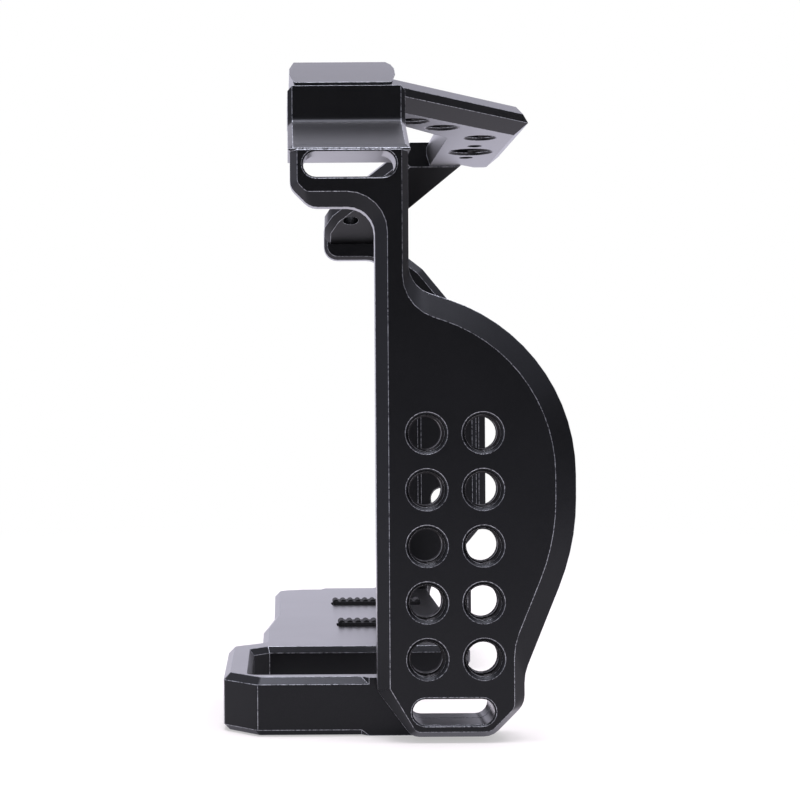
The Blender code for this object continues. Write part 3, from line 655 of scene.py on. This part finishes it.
def makeGround():
    # shaded near the object, and fading out to plain white round it
    look = {
        "pale": 0.97,
        "dim": 0.9603,
        "warmth": 0.06,
        "grain": 0.3,
        "rough": 0.9,
        "near": 0.12,
        "far": 0.42,
        "shade": 0.55,
        "glow": (0.86, 0.84, 1.0, 1),  # what the object's gloss sees of it
    }
    paint = Paint("paleFloor")
    light = paint.node("ShaderNodeLightPath", {}, {})
    seen = paint.node("ShaderNodeMath", {"operation": "MAXIMUM"}, {
        0: light.output("Is Camera Ray"),
        1: paint.node("ShaderNodeMath", {"operation": "MAXIMUM"}, {
            0: light.output("Is Glossy Ray"),
            1: light.output("Is Transmission Ray"),
        }),
    })
    reach = paint.node("ShaderNodeVectorMath", {"operation": "LENGTH"}, {0: paint.place()}, "Value")
    fade = paint.node("ShaderNodeMapRange", {"interpolation_type": "SMOOTHSTEP"}, {
        "Value": reach,
        "From Min": look["near"],
        "From Max": look["far"],
        "To Min": 1 - look["shade"],
        "To Max": 1.0,
    })
    speck = paint.noise(look["grain"], 2)
    colour = paint.blend(speck, grey(look["pale"], look["warmth"]), grey(look["dim"], look["warmth"]))
    paint.shine({"Base Color": colour, "Roughness": look["rough"], "Specular IOR Level": 0.0})
    glowColour = paint.blend(light.output("Is Camera Ray"), look["glow"], (1, 1, 1, 1))
    glow = paint.node("ShaderNodeEmission", {}, {"Color": glowColour, "Strength": 1.0})
    surface = Wire(paint, paint.shader.outputs[0])
    mixed = paint.node("ShaderNodeMixShader", {}, {0: seen * fade, 1: surface, 2: glow})
    paint.join(paint.tree.nodes["Material Output"].inputs["Surface"], mixed)
    return paint.material


def addFloor():
    sizes = {"half": 3.0, "drop": 0.0001}
    data = bmesh.new()
    bmesh.ops.create_grid(data, x_segments=1, y_segments=1, size=sizes["half"])
    bmesh.ops.translate(data, vec=(0, 0, cadLow.z - sizes["drop"]), verts=data.verts)
    mesh = bpy.data.meshes.new("floor")
    data.to_mesh(mesh)
    data.free()
    floor = addObject("floor", mesh)
    mesh.materials.append(makeGround())
    return floor


def addLamp(name, sizes):
    lamp = bpy.data.lights.new(name, "AREA")
    lamp.shape = "RECTANGLE"
    lamp.size, lamp.size_y = sizes["size"]
    lamp.energy = sizes["power"]
    lamp.color = sizes["colour"]
    thing = bpy.data.objects.new(name, lamp)
    bpy.context.scene.collection.objects.link(thing)
    thing.location = sizes["at"]
    aim = Vector(sizes["towards"]) - Vector(sizes["at"])
    thing.rotation_euler = aim.to_track_quat("-Z", "Y").to_euler()


def addCard(name, sizes):
    # a dark card that only shows in the object's gloss
    data = bmesh.new()
    bmesh.ops.create_grid(data, x_segments=1, y_segments=1, size=0.5)
    bmesh.ops.scale(data, vec=(*sizes["size"], 1), verts=data.verts)
    mesh = bpy.data.meshes.new(name)
    data.to_mesh(mesh)
    data.free()
    card = addObject(name, mesh)
    mesh.materials.append(finish["card"])
    card.location = sizes["at"]
    aim = Vector(sizes["towards"]) - Vector(sizes["at"])
    card.rotation_euler = aim.to_track_quat("Z", "Y").to_euler()
    card.visible_camera = False
    card.visible_diffuse = False
    card.visible_shadow = False


cards = {
    "roomBehindCamera": {"size": (1.1, 1.1), "at": (-0.72, 0.0, 0.25), "towards": (0, 0, 0.06)},
    "roomInFront": {"size": (1.3, 0.45), "at": (0.10, -0.62, 0.10), "towards": (0, 0, 0.06)},
}
for name, sizes in cards.items():
    addCard(name, sizes)

lamps = {
    "aboveFront": {
        "size": (0.4, 0.26),
        "power": 2.2,
        "colour": (0.90, 0.88, 1.0),
        "at": (-0.08, -0.42, 0.84),
        "towards": (0, 0, 0.05),
    },
    "overhead": {
        "size": (0.5, 0.5),
        "power": 6.4,
        "colour": (0.90, 0.88, 1.0),
        "at": (-0.12, 0.05, 0.95),
        "towards": (0, 0, 0.05),
    },
    "behind": {
        "size": (0.9, 0.9),
        "power": 4.0,
        "colour": (0.90, 0.88, 1.0),
        "at": (0.16, 0.0, 1.0),
        "towards": (0, 0, 0.05),
    },
}
for name, sizes in lamps.items():
    addLamp(name, sizes)


def setWorld():
    # white where it is seen, and dimmer and cooler as the light on the object
    sizes = {"seen": 1.0, "light": 0.55, "tint": (0.87, 0.85, 1.0, 1)}
    world = bpy.data.worlds.new("paleRoom")
    bpy.context.scene.world = world
    world.use_nodes = True
    tree = world.node_tree
    back = tree.nodes["Background"]
    light = tree.nodes.new("ShaderNodeLightPath")
    seen = None
    for label in ("Is Camera Ray", "Is Glossy Ray", "Is Transmission Ray"):
        if seen is None:
            seen = light.outputs[label]
            continue
        either = tree.nodes.new("ShaderNodeMath")
        either.operation = "MAXIMUM"
        tree.links.new(seen, either.inputs[0])
        tree.links.new(light.outputs[label], either.inputs[1])
        seen = either.outputs[0]
    strength = tree.nodes.new("ShaderNodeMapRange")
    strength.inputs["To Min"].default_value = sizes["light"]
    strength.inputs["To Max"].default_value = sizes["seen"]
    tree.links.new(seen, strength.inputs["Value"])
    tree.links.new(strength.outputs[0], back.inputs["Strength"])
    tint = tree.nodes.new("ShaderNodeMix")
    tint.data_type = "RGBA"
    tint.inputs[6].default_value = sizes["tint"]
    tint.inputs[7].default_value = (1, 1, 1, 1)
    tree.links.new(light.outputs["Is Camera Ray"], tint.inputs[0])
    tree.links.new(tint.outputs[2], back.inputs["Color"])


setWorld()

eye = {
    "distance": 0.280,  # from the grip side's outer face
    "forward": 0.0096,
    "height": 0.057,
    "lens": 75.09,
    "sensor": 36.0,
    "shift": (0.15, 0.0054),
    "roll": -0.35,
    "clip": (0.01, 20),
}


def addCamera():
    camera = bpy.data.cameras.new("photoEye")
    camera.lens = eye["lens"]
    camera.sensor_width = eye["sensor"]
    camera.clip_start, camera.clip_end = eye["clip"]
    thing = bpy.data.objects.new("photoEye", camera)
    bpy.context.scene.collection.objects.link(thing)
    thing.location = place(-eye["distance"], eye["forward"], eye["height"])
    camera.shift_x, camera.shift_y = eye["shift"]
    turn = Matrix.Rotation(math.radians(-90), 4, "Z") @ Matrix.Rotation(math.radians(90), 4, "X")
    turn = turn @ Matrix.Rotation(math.radians(eye["roll"]), 4, "Z")
    thing.rotation_euler = turn.to_euler()
    bpy.context.scene.camera = thing


addFloor()
addCamera()
bpy.context.scene.view_settings.view_transform = "Standard"
print("room ready")
